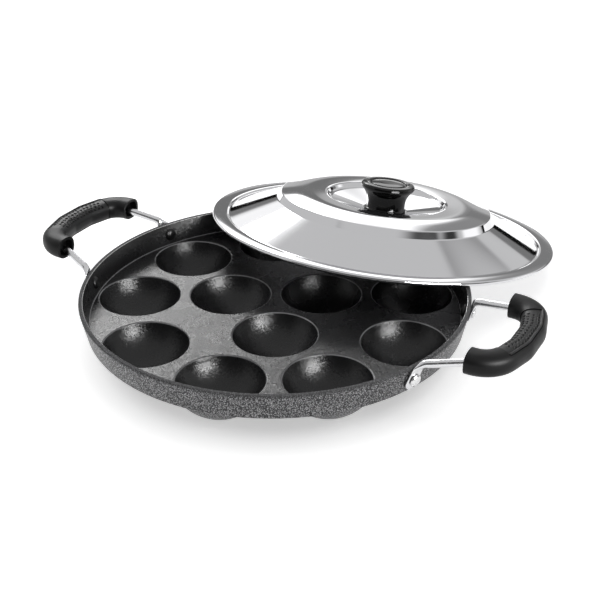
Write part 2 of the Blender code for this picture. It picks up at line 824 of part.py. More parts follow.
def knob_profile():
    base = WELL_FLOOR + CLEARANCE
    top = base + KNOB_HEIGHT
    head_foot = top - KNOB_HEAD
    bore = INSERT_RADIUS + CLEARANCE
    bore_top = base + INSERT_LENGTH + CLEARANCE
    soft = KNOB_SOFT
    groove = KNOB_GROOVE_RADIUS
    return [
        (0, bore_top),
        (bore, bore_top),
        (bore, base),
        (KNOB_WAIST - soft / 2, base),
        (KNOB_WAIST, base + soft / 2),
        (KNOB_WAIST - soft / 4, head_foot - KNOB_FLARE - soft),
        (KNOB_WAIST + soft / 2, head_foot - KNOB_FLARE),
        (KNOB_RADIUS - soft / 2, head_foot),
        (KNOB_RADIUS, head_foot + soft),
        (KNOB_RADIUS, top - 2 * soft),
        (KNOB_RADIUS - soft, top - soft / 2),
        (KNOB_RADIUS - 3 * soft, top),
        (groove + soft, top - KNOB_GROOVE / 2),
        (groove, top - KNOB_GROOVE),
        (groove - soft, top - KNOB_GROOVE / 2),
        (groove / 2, top - KNOB_GROOVE / 4),
        (0, top - KNOB_GROOVE / 4),
    ]


def insert_profile():
    base = WELL_FLOOR + 2 * CLEARANCE
    bore = KNOB_SCREW_SHANK + CLEARANCE
    bore_top = base + KNOB_SCREW_REACH
    top = base + INSERT_LENGTH - CLEARANCE
    return [(0, bore_top), (bore, bore_top), (bore, base), (INSERT_RADIUS, base), (INSERT_RADIUS, top), (0, top)]


def washer_profile():
    top = WELL_FLOOR - LID_SHEET - CLEARANCE
    bottom = top - WASHER_THICKNESS
    hole = KNOB_SCREW_SHANK + CLEARANCE
    return [(hole, bottom), (WASHER_RADIUS, bottom), (WASHER_RADIUS, top), (hole, top)]


def knob_screw_profile():
    seat = WELL_FLOOR - LID_SHEET - WASHER_THICKNESS - 2 * CLEARANCE
    end = WELL_FLOOR + CLEARANCE + KNOB_SCREW_REACH
    bottom = seat - KNOB_SCREW_HEAD_HEIGHT
    rim = KNOB_SCREW_HEAD
    return [
        (0, end),
        (KNOB_SCREW_SHANK, end),
        (KNOB_SCREW_SHANK, seat),
        (rim, seat),
        (rim, seat - KNOB_SCREW_HEAD_HEIGHT / 3),
        (rim * 0.75, bottom),
        (0, bottom),
    ]


def make_lid(finishes):
    lean = lean_angle()
    axis_point, covering = lid_hinge(lean)
    turn = Matrix.Rotation(LEAN_TOWARDS, 4, "Z")
    tip = Matrix.Rotation(lean, 4, "Y")
    hinge = empty("lid_hinge", turn @ Matrix.Translation(axis_point) @ tip)
    place = Matrix.Translation(covering - axis_point)
    sheet = lid_outline() + lid_underside()[::-1]
    pieces = (
        ("lid_shell", sheet, LID_SEGMENTS, "polished"),
        ("lid_knob", knob_profile(), KNOB_SEGMENTS, "knob"),
        ("knob_insert", insert_profile(), SMALL_SEGMENTS, "brass"),
        ("knob_washer", washer_profile(), SMALL_SEGMENTS, "steel"),
        ("knob_screw", knob_screw_profile(), SMALL_SEGMENTS, "steel"),
    )
    for name, profile, segments, finish in pieces:
        mesh = mesh_from(name, *turned(profile, segments))
        piece(name, mesh, finishes[finish], hinge, place)


def main():
    clear_scene()
    finishes = {
        "coating": material("Dark non-stick coating", (0.045, 0.045, 0.047), 0.45, 0.3),
        "steel": material("Bright steel wire", (0.62, 0.62, 0.63), 0.25, 1.0),
        "rivet": material("Aluminium rivet", (0.70, 0.70, 0.71), 0.30, 1.0),
        "bakelite": material("Black bakelite grip", (0.020, 0.020, 0.021), 0.40),
        "soft": material("Black soft grip pad", (0.024, 0.024, 0.025), 0.60),
        "polished": material("Polished stainless steel", (0.72, 0.72, 0.73), 0.08, 1.0),
        "knob": material("Black bakelite knob", (0.010, 0.010, 0.010), 0.10),
        "brass": material("Brass insert", (0.60, 0.45, 0.18), 0.35, 1.0),
    }
    meshes = handle_meshes()
    rivet_holes = [
        make_handle("right", 0, RIGHT_REACH, meshes, finishes),
        make_handle("left", math.pi, LEFT_REACH, meshes, finishes),
    ]
    make_pan(finishes["coating"], rivet_holes)
    make_lid(finishes)


main()
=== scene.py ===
"""A paniyaram pan in studio light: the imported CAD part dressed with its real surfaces.

Metres, in the CAD part's own frame. Run it with Blender 4.5.
"""

import math

import bpy
from mathutils import Matrix, Vector
from mathutils.kdtree import KDTree


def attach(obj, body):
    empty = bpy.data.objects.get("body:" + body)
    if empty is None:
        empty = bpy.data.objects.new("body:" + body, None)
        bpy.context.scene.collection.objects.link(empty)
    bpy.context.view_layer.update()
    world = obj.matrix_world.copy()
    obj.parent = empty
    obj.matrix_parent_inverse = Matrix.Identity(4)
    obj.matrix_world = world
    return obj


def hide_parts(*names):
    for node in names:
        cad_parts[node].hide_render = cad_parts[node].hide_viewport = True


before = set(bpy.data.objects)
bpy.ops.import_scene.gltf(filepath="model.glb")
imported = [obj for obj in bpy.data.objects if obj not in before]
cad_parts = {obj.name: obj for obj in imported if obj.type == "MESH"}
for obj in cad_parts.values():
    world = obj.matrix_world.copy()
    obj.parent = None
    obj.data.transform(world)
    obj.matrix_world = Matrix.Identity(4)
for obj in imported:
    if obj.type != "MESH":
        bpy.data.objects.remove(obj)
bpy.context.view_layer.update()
bpy.ops.object.select_all(action="DESELECT")

# Camera
# The photograph looks down at about 30 degrees past the right handle.

SENSOR_WIDTH = 36
LENS = 65.22

bpy.ops.object.camera_add()
camera = bpy.context.object
camera.name = "photo_camera"
camera.matrix_world = Matrix(
    (
        (0.870543, -0.238785, 0.430276, 0.290823),
        (0.492090, 0.425404, -0.759525, -0.484010),
        (-0.001678, 0.872934, 0.487836, 0.319731),
        (0.0, 0.0, 0.0, 1.0),
    )
)
camera.data.sensor_width = SENSOR_WIDTH
camera.data.lens = LENS
camera.data.clip_start = 0.01
bpy.context.scene.camera = camera

# Floor and studio light
# A white sweep, a large softbox behind on the left, a small one on the right and one overhead.
# Reflections see a tent round it all, with bright panels, and a dark foot that the lid mirrors.

TABLE = -0.0196
FLOOR_SIZE = 2.4
FLOOR_WHITE = "ededed"
SHADE_GLOW = 0.46
OPEN_GLOW = 0.61
SHADE_EDGE = (0.097, 0.111)
FLOOR_FADE = (0.35, 1.05)
WORLD_GREY = "a6a6a6"


def colour(code):
    """The linear colour of an sRGB hex value."""
    parts = [int(code[index : index + 2], 16) / 255 for index in (0, 2, 4)]
    linear = [part / 12.92 if part <= 0.04045 else ((part + 0.055) / 1.055) ** 2.4 for part in parts]
    return (*linear, 1.0)


def add_node(tree, kind, inputs=None, **settings):
    """Adds a node; an input takes a value or another node's output."""
    made = tree.nodes.new("ShaderNode" + kind)
    for name, value in settings.items():
        setattr(made, name, value)
    for name, value in (inputs or {}).items():
        if isinstance(value, bpy.types.NodeSocket):
            tree.links.new(value, made.inputs[name])
        else:
            made.inputs[name].default_value = value
    return made


def new_finish(name):
    """A material with its tree and its shader."""
    made = bpy.data.materials.new(name)
    made.use_nodes = True
    return made, made.node_tree, made.node_tree.nodes["Principled BSDF"]


def seen_or_mirrored(tree):
    """1 for a ray from the camera, a reflection or a refraction, else 0."""
    path = add_node(tree, "LightPath")
    shiny = add_node(
        tree,
        "Math",
        {0: path.outputs["Is Glossy Ray"], 1: path.outputs["Is Transmission Ray"]},
        operation="MAXIMUM",
    )
    return add_node(
        tree, "Math", {0: path.outputs["Is Camera Ray"], 1: shiny.outputs[0]}, operation="MAXIMUM"
    ).outputs[0]


world = bpy.data.worlds.new("white_studio")
bpy.context.scene.world = world
world.use_nodes = True
sky = world.node_tree
sky.nodes["Background"].inputs["Color"].default_value = colour(WORLD_GREY)
white = add_node(sky, "Background", {"Color": (1, 1, 1, 1), "Strength": 1.0})
shown = add_node(
    sky,
    "MixShader",
    {
        0: seen_or_mirrored(sky),
        1: sky.nodes["Background"].outputs[0],
        2: white.outputs[0],
    },
)
sky.links.new(shown.outputs[0], sky.nodes["World Output"].inputs["Surface"])

bpy.ops.mesh.primitive_plane_add(size=FLOOR_SIZE, location=(0, 0, TABLE))
floor = bpy.context.object
floor.name = "white_floor"
bpy.ops.object.transform_apply(location=True)
floor_finish, tree, shader = new_finish("White studio sweep")
shader.inputs["Base Color"].default_value = colour(FLOOR_WHITE)
shader.inputs["Roughness"].default_value = 0.9
shader.inputs["Specular IOR Level"].default_value = 0.0
place = add_node(tree, "TexCoord").outputs["Object"]
away = add_node(tree, "VectorMath", {0: place}, operation="LENGTH")
# Within about 0.1 m of the middle the glow drops: a painted shadow round the pan's foot, added to the
# lamps' own shadow.
near = add_node(
    tree,
    "MapRange",
    {
        "Value": away.outputs["Value"],
        "From Min": SHADE_EDGE[0],
        "From Max": SHADE_EDGE[1],
        "To Min": SHADE_GLOW,
        "To Max": OPEN_GLOW,
    },
    interpolation_type="SMOOTHSTEP",
)
far = add_node(
    tree,
    "MapRange",
    {
        "Value": away.outputs["Value"],
        "From Min": FLOOR_FADE[0],
        "From Max": FLOOR_FADE[1],
        "To Min": 0.0,
        "To Max": 1.0 - OPEN_GLOW,
    },
)
paling = add_node(tree, "Math", {0: near.outputs[0], 1: far.outputs[0]}, operation="ADD")
glow = add_node(
    tree, "Math", {0: seen_or_mirrored(tree), 1: paling.outputs[0]}, operation="MULTIPLY"
)
shader.inputs["Emission Color"].default_value = (1, 1, 1, 1)
tree.links.new(glow.outputs[0], shader.inputs["Emission Strength"])
floor.data.materials.append(floor_finish)

SOFTBOXES = (
    # name, azimuth and height in degrees, distance, width and height in metres, watts, mirrored
    ("overhead_softbox", 100, 86, 1.20, 1.20, 1.00, 6.0, False),
    ("back_left_softbox", 140, 32, 1.30, 1.45, 0.90, 4.0, False),
    ("right_softbox", -20, 27, 1.05, 0.60, 0.28, 20.0, True),
)
for name, azimuth, height, distance, wide, tall, power, mirrored in SOFTBOXES:
    azimuth, height = math.radians(azimuth), math.radians(height)
    place = Vector(
        (math.cos(azimuth) * math.cos(height), math.sin(azimuth) * math.cos(height), math.sin(height))
    )
    bpy.ops.object.light_add(type="AREA", location=place * distance)
    lamp = bpy.context.object
    lamp.name = name
    lamp.data.shape = "RECTANGLE"
    lamp.data.size, lamp.data.size_y = wide, tall
    lamp.data.energy = power
    lamp.rotation_euler = (-place).to_track_quat("-Z", "Y").to_euler()
    lamp.visible_camera = False
    lamp.visible_glossy = mirrored
    lamp.visible_diffuse = not mirrored

TENT_RADIUS = 20.0
TENT_FOOT = -3.0
TENT_SEGMENTS, TENT_RINGS = 240, 180
TENT_WHITE = 0.75
PANELS = (
    # from and to azimuth, from and to height, and soft edge in degrees, brightness; later over earlier
    (-125, 8, -9, 46, 8, 0.10),
    (118, 160, 10, 37, 6, 1.35),
    (121, 150, 22, 33, 4, 13.0),
    (104, 124, 8, 27, 4, 2.10),
    (98, 118, 28, 33, 3, 0.30),
    (90, 105, 3, 26, 5, 0.34),
    (83, 88, 22, 42, 3, 0.42),
    (34, 60, 4, 20, 6, 1.50),
    (8, 27, 18, 30, 7, 0.05),
    (97, 122, -9, 3.5, 3, 0.55),
    (112, 126, 3.2, 9.5, 1.5, 0.22),
    (99, 107, 2.5, 8, 2, 0.26),
    (60, 97, 2.0, 9.5, 1.5, 0.24),
    (126, 150, 2.0, 9.0, 1.5, 0.24),
    (60, 97, -9, 3.6, 1.0, 0.006),
    (124, 150, -9, 3.6, 1.0, 0.006),
)


def panel_share(value, low, high, soft):
    """1 between low and high, fading to 0 over the soft edge, half of it on either side."""
    inside = min(value - low, high - value) / soft + 0.5
    inside = min(1.0, max(0.0, inside))
    return inside * inside * (3 - 2 * inside)


bpy.ops.mesh.primitive_uv_sphere_add(
    segments=TENT_SEGMENTS, ring_count=TENT_RINGS, radius=TENT_RADIUS
)
tent = bpy.context.object
tent.name = tent.data.name = "studio_tent"
bpy.ops.object.mode_set(mode="EDIT")
bpy.ops.mesh.select_all(action="SELECT")
bpy.ops.mesh.bisect(plane_co=(0, 0, TENT_FOOT), plane_no=(0, 0, 1), clear_inner=True)
bpy.ops.object.mode_set(mode="OBJECT")
bpy.ops.geometry.color_attribute_add(name="panels", domain="POINT", color=(0, 0, 0, 1))
for point, painted in zip(tent.data.vertices, tent.data.color_attributes["panels"].data):
    azimuth = math.degrees(math.atan2(point.co.y, point.co.x))
    height = math.degrees(math.asin(point.co.z / TENT_RADIUS))
    light = TENT_WHITE
    for first, last, low, high, soft, brightness in PANELS:
        share = panel_share(azimuth, first, last, soft) * panel_share(height, low, high, soft)
        light += (brightness - light) * share
    painted.color = (light, light, light, 1)
tent_finish, tree, shader = new_finish("Studio tent and panels")
panels = add_node(tree, "VertexColor", layer_name="panels")
shader.inputs["Base Color"].default_value = (0, 0, 0, 1)
shader.inputs["Specular IOR Level"].default_value = 0.0
shader.inputs["Emission Strength"].default_value = 1.0
tree.links.new(panels.outputs["Color"], shader.inputs["Emission Color"])
tent.data.materials.append(tent_finish)
tent.visible_camera = tent.visible_diffuse = tent.visible_shadow = False

# Dish
# One aluminium sheet pressed into a shallow dish with twelve round cups, nine round three. It is
# coated dark inside, sprayed with a grey hammered paint outside, and bare on the rim's inner edge.

SHEET = 0.0025
RIM_RADIUS = 0.115
WALL_HEIGHT = 0.01345
WALL_LEAN = math.radians(11.6)
FOOT_ROUND = 0.00045
FOOT_EDGE = 0.00085
RIM_EDGE = 0.00025
RIM_ROUND = 0.0005
BEAD_WIDTH = 0.0003
BEAD_HEIGHT = 0.00045
BEAD_ROUND = 0.00012
BEAD_HOLLOW = 0.0003
OUTER_CUPS, OUTER_RING = 9, 0.0839
INNER_CUPS, INNER_RING = 3, 0.03185
CUP_BALL = 0.02609
CUP_BALL_HEIGHT = 0.00869
CUP_LIP = 0.0010
BULGE_LIP = 0.0008
PLATE_EDGE = 0.00004
LIP_POINTS = 6
BALL_POINTS = 22
CUP_STEPS = 72
DISH_STEPS = 216
SAME_POINT = 0.00001


def rounded(corners, turn=12):
    """Points of a line through (x, y, z, radius) corners, each bend an arc of its own radius."""
    points = [Vector(corners[0][:3])]
    for before, here, after in zip(corners, corners[1:], corners[2:]):
        corner, radius = Vector(here[:3]), here[3]
        back = (Vector(before[:3]) - corner).normalized()
        ahead = (Vector(after[:3]) - corner).normalized()
        half = back.angle(ahead) / 2
        if radius == 0 or half > math.pi / 2 - 0.001:
            points.append(corner)
            continue
        centre = corner + (back + ahead).normalized() * radius / math.sin(half)
        start = corner + back * radius / math.tan(half) - centre
        axis = back.cross(ahead).normalized() * -1
        bend = math.pi - 2 * half
        steps = max(2, math.ceil(math.degrees(bend) / turn))
        for index in range(steps + 1):
            points.append(centre + Matrix.Rotation(bend * index / steps, 3, axis) @ start)
    points.append(Vector(corners[-1][:3]))
    return points


def picked(piece):
    """Selects this piece alone and makes it the one that operators work on."""
    bpy.ops.object.select_all(action="DESELECT")
    piece.select_set(True)
    bpy.context.view_layer.objects.active = piece


def drawn(name, points):
    """A line drawn by extruding one point from place to place; it stays open in edit mode."""
    bpy.ops.object.select_all(action="DESELECT")
    bpy.ops.mesh.primitive_plane_add(size=0.001)
    piece = bpy.context.object
    piece.name = piece.data.name = name
    bpy.ops.object.mode_set(mode="EDIT")
    bpy.ops.mesh.select_mode(type="VERT")
    bpy.ops.mesh.merge(type="CENTER")
    bpy.ops.transform.translate(value=points[0])
    for before, after in zip(points, points[1:]):
        bpy.ops.mesh.extrude_vertices_move(TRANSFORM_OT_translate={"value": after - before})
    return piece


def spun(name, profile, steps, turn=12):
    """A piece turned about Z from its (radius, height, rounding) profile."""
    piece = drawn(name, rounded([(radius, 0, height, bend) for radius, height, bend in profile], turn))
    bpy.ops.mesh.select_all(action="SELECT")
    bpy.ops.mesh.spin(steps=steps, angle=2 * math.pi, center=(0, 0, 0), axis=(0, 0, 1))
    bpy.ops.mesh.select_all(action="SELECT")
    bpy.ops.mesh.remove_doubles(threshold=SAME_POINT)
    bpy.ops.mesh.normals_make_consistent(inside=False)
    bpy.ops.object.mode_set(mode="OBJECT")
    return piece


def copied(piece, name, place):
    """A copy with its own mesh, set in place."""
    made = piece.copy()
    made.data = piece.data.copy()
    made.name = made.data.name = name
    bpy.context.collection.objects.link(made)
    made.data.transform(place)
    return made


def joined(pieces):
    """Joins pieces into the first one and merges the points that they share."""
    bpy.ops.object.select_all(action="DESELECT")
    for piece in pieces:
        piece.select_set(True)
    bpy.context.view_layer.objects.active = pieces[0]
    bpy.ops.object.join()
    bpy.ops.object.mode_set(mode="EDIT")
    bpy.ops.mesh.select_all(action="SELECT")
    bpy.ops.mesh.remove_doubles(threshold=2 * SAME_POINT)
    bpy.ops.object.mode_set(mode="OBJECT")
    return pieces[0]


def softened(piece, degrees):
    """Shades it smooth, apart from edges that turn more than this."""
    picked(piece)
    bpy.ops.object.shade_smooth_by_angle(angle=math.radians(degrees))


# Non-stick coating: sprayed PTFE with fine metal flake, nearly black and satin. A flake leans its
# own way, so a highlight breaks into sparks. A flake is about 0.1 mm, and is drawn at 0.3 mm.
# A patchy light line is painted into its colour just above and below the plate's height, on the cups'
# lips and on the bead at the wall's foot: a painted highlight.
COATING_COLOUR = "101011"
COATING_FLAKE = "1c1c1d"
CLOUDS_PER_METRE = 60.0
FLAKES_PER_METRE = 3000.0
FLAKE_LEAN = 0.24
PAINTED_HIGHLIGHT_COLOUR = "9c9c9e"
HIGHLIGHT_FROM, HIGHLIGHT_TO = 0.00006, 0.00060
coating, tree, shader = new_finish("Non-stick coating, sprayed")
place = add_node(tree, "TexCoord").outputs["Object"]
flake = add_node(tree, "TexVoronoi", {"Vector": place, "Scale": FLAKES_PER_METRE})
cloud = add_node(tree, "TexNoise", {"Vector": place, "Scale": CLOUDS_PER_METRE, "Detail": 3.0})
chosen = add_node(tree, "SeparateColor", {"Color": flake.outputs["Color"]})
tint = add_node(
    tree,
    "Mix",
    {0: chosen.outputs["Red"], 6: colour(COATING_COLOUR), 7: colour(COATING_FLAKE)},
    data_type="RGBA",
)
level = add_node(tree, "SeparateXYZ", {"Vector": place}).outputs["Z"]
by_plate = add_node(tree, "Math", {0: level, 1: 0.0, 2: HIGHLIGHT_TO}, operation="COMPARE")
on_plate = add_node(tree, "Math", {0: level, 1: 0.0, 2: HIGHLIGHT_FROM}, operation="COMPARE")
edges = add_node(
    tree, "Math", {0: by_plate.outputs[0], 1: on_plate.outputs[0]}, operation="SUBTRACT"
)
# The painted highlight: a light line within 0.6 mm of the plate's height, patchy with the clouds.
thin = add_node(tree, "Math", {0: edges.outputs[0], 1: cloud.outputs[0]}, operation="MULTIPLY")
tint = add_node(
    tree, "Mix", {0: thin.outputs[0], 6: tint.outputs[2], 7: colour(PAINTED_HIGHLIGHT_COLOUR)}, data_type="RGBA"
)
dull = add_node(
    tree,
    "MapRange",
    {"Value": cloud.outputs[0], "From Min": 0.3, "From Max": 0.7, "To Min": 0.25, "To Max": 0.30},
)
tilt = add_node(
    tree,
    "VectorMath",
    {0: flake.outputs["Color"], 1: (0.5, 0.5, 0.5)},
    operation="SUBTRACT",
)
lean = add_node(tree, "VectorMath", {0: tilt.outputs[0], "Scale": FLAKE_LEAN}, operation="SCALE")
surface = add_node(tree, "NewGeometry").outputs["Normal"]
leaning = add_node(tree, "VectorMath", {0: surface, 1: lean.outputs[0]}, operation="ADD")
facing = add_node(tree, "VectorMath", {0: leaning.outputs[0]}, operation="NORMALIZE")
shader.inputs["IOR"].default_value = 1.38
tree.links.new(tint.outputs[2], shader.inputs["Base Color"])
tree.links.new(dull.outputs[0], shader.inputs["Roughness"])
tree.links.new(facing.outputs[0], shader.inputs["Normal"])

# Hammered paint: silicone paint over the aluminium outside. Its cells are about 0.7 mm, each a
# light dimple with a dark edge, and they fade into a darker, rougher band over the top 2 mm by the
# rim.
HAMMER_LIGHT = "d2d2d4"
HAMMER_DARK = "2c2c2e"
CELLS_PER_METRE = 1350.0
CELL_EDGE = (0.26, 0.56)
DARK_BAND_BY_RIM = (0.0112, 0.0134)
hammered, tree, shader = new_finish("Hammered paint, sprayed")
place = add_node(tree, "TexCoord").outputs["Object"]
cells = add_node(tree, "TexVoronoi", {"Vector": place, "Scale": CELLS_PER_METRE}, feature="F1")
own = add_node(tree, "SeparateColor", {"Color": cells.outputs["Color"]})
dimple = add_node(
    tree,
    "MapRange",
    {
        "Value": cells.outputs["Distance"],
        "From Min": CELL_EDGE[0],
        "From Max": CELL_EDGE[1],
        "To Min": 1.0,
        "To Max": 0.0,
    },
)
strong = add_node(
    tree,
    "MapRange",
    {"Value": own.outputs["Red"], "From Min": 0.0, "From Max": 1.0, "To Min": 0.3, "To Max": 1.0},
)
light = add_node(tree, "Math", {0: dimple.outputs[0], 1: strong.outputs[0]}, operation="MULTIPLY")
level = add_node(tree, "SeparateXYZ", {"Vector": place}).outputs["Z"]
clear = add_node(
    tree,
    "MapRange",
    {
        "Value": level,
        "From Min": DARK_BAND_BY_RIM[0],
        "From Max": DARK_BAND_BY_RIM[1],
        "To Min": 1.0,
        "To Max": 0.15,
    },
)
shown = add_node(tree, "Math", {0: light.outputs[0], 1: clear.outputs[0]}, operation="MULTIPLY")
tint = add_node(
    tree,
    "Mix",
    {0: shown.outputs[0], 6: colour(HAMMER_DARK), 7: colour(HAMMER_LIGHT)},
    data_type="RGBA",
)
tree.links.new(tint.outputs[2], shader.inputs["Base Color"])
relief = add_node(tree, "Bump", {"Height": light.outputs[0], "Strength": 0.5, "Distance": 0.0002})
tree.links.new(relief.outputs[0], shader.inputs["Normal"])
metal = add_node(tree, "Math", {0: clear.outputs[0], 1: 0.3}, operation="MULTIPLY")
dull = add_node(
    tree,
    "MapRange",
    {"Value": clear.outputs[0], "From Min": 0.15, "From Max": 1.0, "To Min": 0.85, "To Max": 0.42},
)
tree.links.new(metal.outputs[0], shader.inputs["Metallic"])
tree.links.new(dull.outputs[0], shader.inputs["Roughness"])

# Bare aluminium: the rim's inner edge is turned clean after coating, so it shines in a thin line
# with faint turning marks about 1 mm apart.
BARE_COLOUR = "b8b8b8"
TURNING_MARKS_PER_METRE = 900.0
bare, tree, shader = new_finish("Aluminium, turned bare")
place = add_node(tree, "TexCoord").outputs["Object"]
marks = add_node(tree, "TexNoise", {"Vector": place, "Scale": TURNING_MARKS_PER_METRE, "Detail": 2.0})
dull = add_node(
    tree,
    "MapRange",
    {"Value": marks.outputs[0], "From Min": 0.3, "From Max": 0.7, "To Min": 0.20, "To Max": 0.38},
)
tree.links.new(dull.outputs[0], shader.inputs["Roughness"])
shader.inputs["Base Color"].default_value = colour(BARE_COLOUR)
shader.inputs["Metallic"].default_value = 1.0

# A cup's inside and outside are balls with one centre, each blended into the plate by a lip.


def ball_profile(ball, lip, plate, floor_height):
    """(radius, height, rounding) points from the plate over the lip and down to the cup's middle."""
    rise = CUP_BALL_HEIGHT - plate + lip
    lip_radius = math.sqrt((ball + lip) ** 2 - rise**2)
    lean = math.atan2(rise, lip_radius)
    points = [(lip_radius + PLATE_EDGE, plate, 0)]
    for index in range(LIP_POINTS + 1):
        angle = math.pi / 2 + (math.pi / 2 - lean) * index / LIP_POINTS
        points.append((lip_radius + lip * math.cos(angle), plate - lip + lip * math.sin(angle), 0))
    for index in range(1, BALL_POINTS + 1):
        angle = -lean - (math.pi / 2 - lean) * index / BALL_POINTS
        height = CUP_BALL_HEIGHT + ball * math.sin(angle)
        if height > floor_height:
            points.append((ball * math.cos(angle), height, 0))
    points.append((0, floor_height, 0))
    return points


cup_places = []
for count, ring, first in ((OUTER_CUPS, OUTER_RING, 0.0), (INNER_CUPS, INNER_RING, math.pi)):
    for index in range(count):
        angle = first + 2 * math.pi * index / count
        cup_places.append((ring * math.cos(angle), ring * math.sin(angle), 0))

cup_floor = CUP_BALL_HEIGHT - CUP_BALL
bowl = spun("bowl", ball_profile(CUP_BALL, CUP_LIP, 0, cup_floor), CUP_STEPS)
bulge = spun("bulge", ball_profile(CUP_BALL + SHEET, BULGE_LIP, -SHEET, TABLE), CUP_STEPS)
bowl.data.materials.append(coating)
bulge.data.materials.append(hammered)

slope = math.tan(WALL_LEAN)
inside_rim = RIM_RADIUS - SHEET / math.cos(WALL_LEAN)
inside_foot = inside_rim - WALL_HEIGHT * slope
outside_foot = RIM_RADIUS - (WALL_HEIGHT + SHEET) * slope
wall_profile = (
    (inside_foot - BEAD_WIDTH, 0, 0),
    (inside_foot - BEAD_WIDTH * 0.9, BEAD_HEIGHT, BEAD_ROUND),
    (inside_foot + BEAD_HEIGHT * slope, BEAD_HEIGHT, BEAD_HOLLOW),
    (inside_rim - RIM_EDGE * slope, WALL_HEIGHT - RIM_EDGE, 0),
    (inside_rim + RIM_EDGE, WALL_HEIGHT, 0),
    (RIM_RADIUS - SAME_POINT, WALL_HEIGHT, RIM_ROUND),
    (outside_foot, -SHEET, FOOT_ROUND),
    (outside_foot - FOOT_EDGE, -SHEET, 0),
)
dish = spun("pan_dish", wall_profile, DISH_STEPS)
for finish in (coating, hammered, bare):
    dish.data.materials.append(finish)
for face in dish.data.polygons:
    radius = face.center.xy.length
    on_edge = face.center.z > WALL_HEIGHT - RIM_EDGE and radius < inside_rim + RIM_EDGE
    outside = radius > RIM_RADIUS - (WALL_HEIGHT - face.center.z) * slope - SHEET * 0.9
    face.material_index = 2 if on_edge else 1 if outside or face.center.z < -SHEET / 2 else 0

cups = []
for index, place in enumerate(cup_places):
    seat = Matrix.Translation(place)
    cups += [copied(bowl, f"cup_{index}", seat), copied(bulge, f"bulge_{index}", seat)]
for mould in (bowl, bulge):
    bpy.data.objects.remove(mould)
joined([dish] + cups)


def unpicked(kind):
    """Deselects all of the active piece's points, edges and faces, ready for others to be picked."""
    bpy.ops.object.mode_set(mode="EDIT")
    bpy.ops.mesh.select_mode(type=kind)
    bpy.ops.mesh.select_all(action="DESELECT")
    bpy.ops.object.mode_set(mode="OBJECT")


def filled(piece, height, material_index):
    """Fills the flat sheet between all the open edges at one height."""
    unpicked("EDGE")
    mesh = piece.data
    used = {}
    for face in mesh.polygons:
        for key in face.edge_keys:
            used[key] = used.get(key, 0) + 1
    for edge in mesh.edges:
        ends = [mesh.vertices[index].co.z for index in edge.vertices]
        edge.select = used.get(edge.key) == 1 and max(abs(end - height) for end in ends) < SAME_POINT
    piece.active_material_index = material_index
    bpy.ops.object.mode_set(mode="EDIT")
    bpy.ops.mesh.fill(use_beauty=True)
    bpy.ops.object.material_slot_assign()
    bpy.ops.object.mode_set(mode="OBJECT")


filled(dish, 0, 0)
filled(dish, -SHEET, 1)
bpy.ops.object.mode_set(mode="EDIT")
bpy.ops.mesh.select_all(action="SELECT")
bpy.ops.mesh.normals_make_consistent(inside=False)
bpy.ops.object.mode_set(mode="OBJECT")
softened(dish, 40)
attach(dish, "pan")
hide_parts("pan_body")

# Handle rivets
# Four aluminium rivets, two to a handle, pressed through the wall and the flattened ends of the
# rods. Their inner heads were sprayed with the pan, their outer heads are bare.

RIVET_ANGLE = math.radians(20.5)
RIVET_HEIGHT = 0.0063
RIVET_SHANK = 0.0019
OUTER_HEAD = 0.0036
INNER_HEAD = 0.0039
RIVET_DOME = 0.0021
HEAD_POINTS = 8
HEAD_FULLNESS = 0.9
HEAD_SEAT_SHARE = 0.97
RIVET_STEPS = 40
TAB_THICKNESS = 0.0019
HAIR = 0.0003
RIVET_COLOUR = "d9d9da"
RIVET_SCUFFS_PER_METRE = 700.0

# Cold headed aluminium is bright, and scuffs about 1.5 mm wide blur its highlights.
rivet_bare, tree, shader = new_finish("Aluminium, headed cold")
place = add_node(tree, "TexCoord").outputs["Object"]
scuff = add_node(tree, "TexNoise", {"Vector": place, "Scale": RIVET_SCUFFS_PER_METRE, "Detail": 3.0})
dull = add_node(
    tree,
    "MapRange",
    {"Value": scuff.outputs[0], "From Min": 0.35, "From Max": 0.65, "To Min": 0.16, "To Max": 0.34},
)
tree.links.new(dull.outputs[0], shader.inputs["Roughness"])
shader.inputs["Base Color"].default_value = colour(RIVET_COLOUR)
shader.inputs["Metallic"].default_value = 1.0


def rivet_frame(side, turn=0.0):
    """The wall's outside at a rivet: Z points out of the wall and Y up it."""
    angle = side * RIVET_ANGLE
    radius = RIM_RADIUS - (WALL_HEIGHT - RIVET_HEIGHT) * slope
    radial = Vector((math.cos(angle), math.sin(angle), 0))
    outward = radial * math.cos(WALL_LEAN) - Vector((0, 0, 1)) * math.sin(WALL_LEAN)
    along = Vector((-math.sin(angle), math.cos(angle), 0))
    made = Matrix((along, outward.cross(along), outward)).transposed().to_4x4()
    made.translation = radial * radius + Vector((0, 0, RIVET_HEIGHT))
    return Matrix.Rotation(turn, 4, "Z") @ made


def head(radius, seat, away):
    """Half outline of a domed head from its seat to its top, in the direction away."""
    points = []
    for index in range(HEAD_POINTS + 1):
        angle = math.pi / 2 * index / HEAD_POINTS
        rise = RIVET_DOME * math.sin(angle) ** HEAD_FULLNESS
        points.append((radius * math.cos(angle), seat + away * rise, 0))
    return [(radius * HEAD_SEAT_SHARE, seat, 0)] + points[1:-1] + [(0, points[-1][1], 0)]


